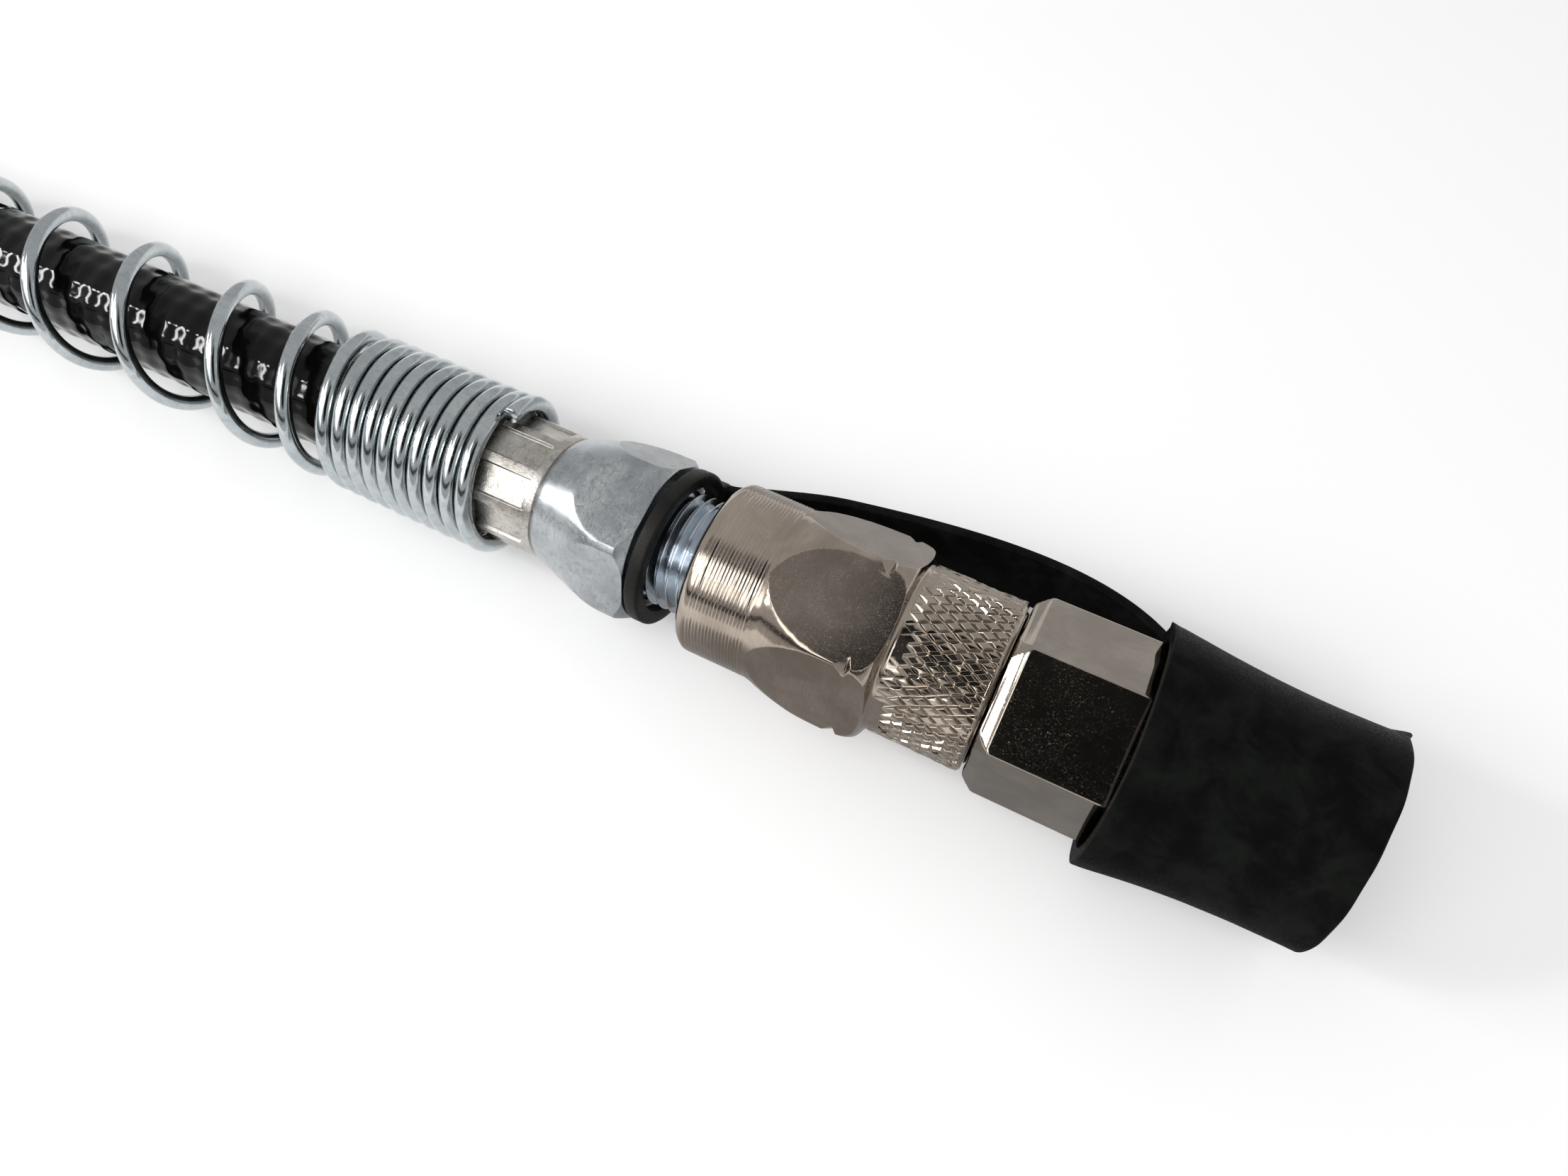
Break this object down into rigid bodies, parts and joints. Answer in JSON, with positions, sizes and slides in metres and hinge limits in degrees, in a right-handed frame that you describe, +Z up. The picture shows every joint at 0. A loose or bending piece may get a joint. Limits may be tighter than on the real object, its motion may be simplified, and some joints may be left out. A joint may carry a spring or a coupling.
{
  "type": "grease gun hose",
  "caption": "Flexible high-pressure hose under a spring guard, with a crimped threaded stem at each end and a coupler with inner jaws, knurled grip and strapped rubber dust cap.",
  "frame": {"origin": "Centre of the coupler, its fitting and cap on the surface it lies on, straight under the middle of their box; the hose and what is on it aren't counted.", "axes": "+X along the coupler's axis towards the nose and cap, +Z up, +Y towards the side where the cap's strap runs."},
  "size_m": [0.3492, 0.0226, 0.0194],
  "materials": {
    "hose_rubber": "black hose cover with a slight sheen",
    "guard_wire": "zinc-plated spring wire, blue-grey",
    "ferrule_zinc": "bright zinc plate, crimp marks",
    "stem_zinc": "zinc plate, turned and milled, blue-grey",
    "coupler_nickel": "nickel plate, warm grey, fine turning lines and diamond knurl",
    "inner_steel": "hardened steel, ground",
    "ball_steel": "polished ball",
    "seal_rubber": "dense black seal rubber",
    "cap_rubber": "matt black moulded rubber"
  },
  "bodies": {
    "hose_assembly": {"hose": "hose_rubber", "spring_guard": "guard_wire", "front_ferrule": "ferrule_zinc", "rear_ferrule": "ferrule_zinc", "front_stem": "stem_zinc", "rear_stem": "stem_zinc", "coupler_body": "coupler_nickel", "check_retainer": "inner_steel", "check_spring": "guard_wire"},
    "check_valve_ball": {"check_ball": "ball_steel"},
    "jaw_spring_body": {"jaw_spring": "guard_wire"},
    "nose": {"nose_nut": "coupler_nickel"},
    "piston_body": {"piston": "inner_steel", "nose_seal": "seal_rubber"},
    "jaw_1_body": {"jaw_1": "inner_steel"},
    "jaw_2_body": {"jaw_2": "inner_steel"},
    "jaw_3_body": {"jaw_3": "inner_steel"},
    "jaw_4_body": {"jaw_4": "inner_steel"},
    "ring_body": {"strap_ring": "cap_rubber", "cap_strap": "cap_rubber"},
    "cap_body": {"dust_cap": "cap_rubber"}
  },
  "joints": [
    {"name": "nut_turn", "type": "hinge", "parent": "hose_assembly", "child": "jaw_spring_body", "pos_m": [0.0174, -0.00158, 0.0097], "axis": [1, 0, 0], "range_deg": [-91, 722]},
    {"name": "nut_advance", "type": "slide", "parent": "jaw_spring_body", "child": "nose", "axis": [1, 0, 0], "range_m": [-0.00025, 0.002]},
    {"name": "piston_slide", "type": "slide", "parent": "nose", "child": "piston_body", "axis": [1, 0, 0], "range_m": [-0.0022, 0], "stiffness_N_per_m": 800, "springref_m": 0.004, "deforming": ["jaw_spring"]},
    {"name": "check_lift", "type": "slide", "parent": "hose_assembly", "child": "check_valve_ball", "axis": [1, 0, 0], "range_m": [0, 0.001], "stiffness_N_per_m": 60, "springref_m": -0.002, "deforming": ["check_spring"]},
    {"name": "strap_swivel", "type": "hinge", "parent": "hose_assembly", "child": "ring_body", "pos_m": [-0.0107, -0.00158, 0.0097], "axis": [1, 0, 0], "continuous": true},
    {"name": "cap_pull", "type": "slide", "parent": "ring_body", "child": "cap_body", "axis": [1, 0, 0], "range_m": [0, 0.012], "deforming": ["cap_strap"]},
    {"name": "jaw_1_slide", "type": "slide", "parent": "nose", "child": "jaw_1_body", "axis": [0.9703, -0.2419, 0], "range_m": [-0.00228, 0]},
    {"name": "jaw_2_slide", "type": "slide", "parent": "nose", "child": "jaw_2_body", "axis": [0.9703, 0, -0.2419], "range_m": [-0.00228, 0]},
    {"name": "jaw_3_slide", "type": "slide", "parent": "nose", "child": "jaw_3_body", "axis": [0.9703, 0.2419, 0], "range_m": [-0.00228, 0]},
    {"name": "jaw_4_slide", "type": "slide", "parent": "nose", "child": "jaw_4_body", "axis": [0.9703, 0, 0.2419], "range_m": [-0.00228, 0]}
  ],
  "couplings": [
    {"joint": "nut_turn", "follows": "nut_advance", "rad_per_m": 6283.2},
    {"joint": "jaw_1_slide", "follows": "piston_slide", "ratio": 1.0306},
    {"joint": "jaw_2_slide", "follows": "piston_slide", "ratio": 1.0306},
    {"joint": "jaw_3_slide", "follows": "piston_slide", "ratio": 1.0306},
    {"joint": "jaw_4_slide", "follows": "piston_slide", "ratio": 1.0306}
  ]
}
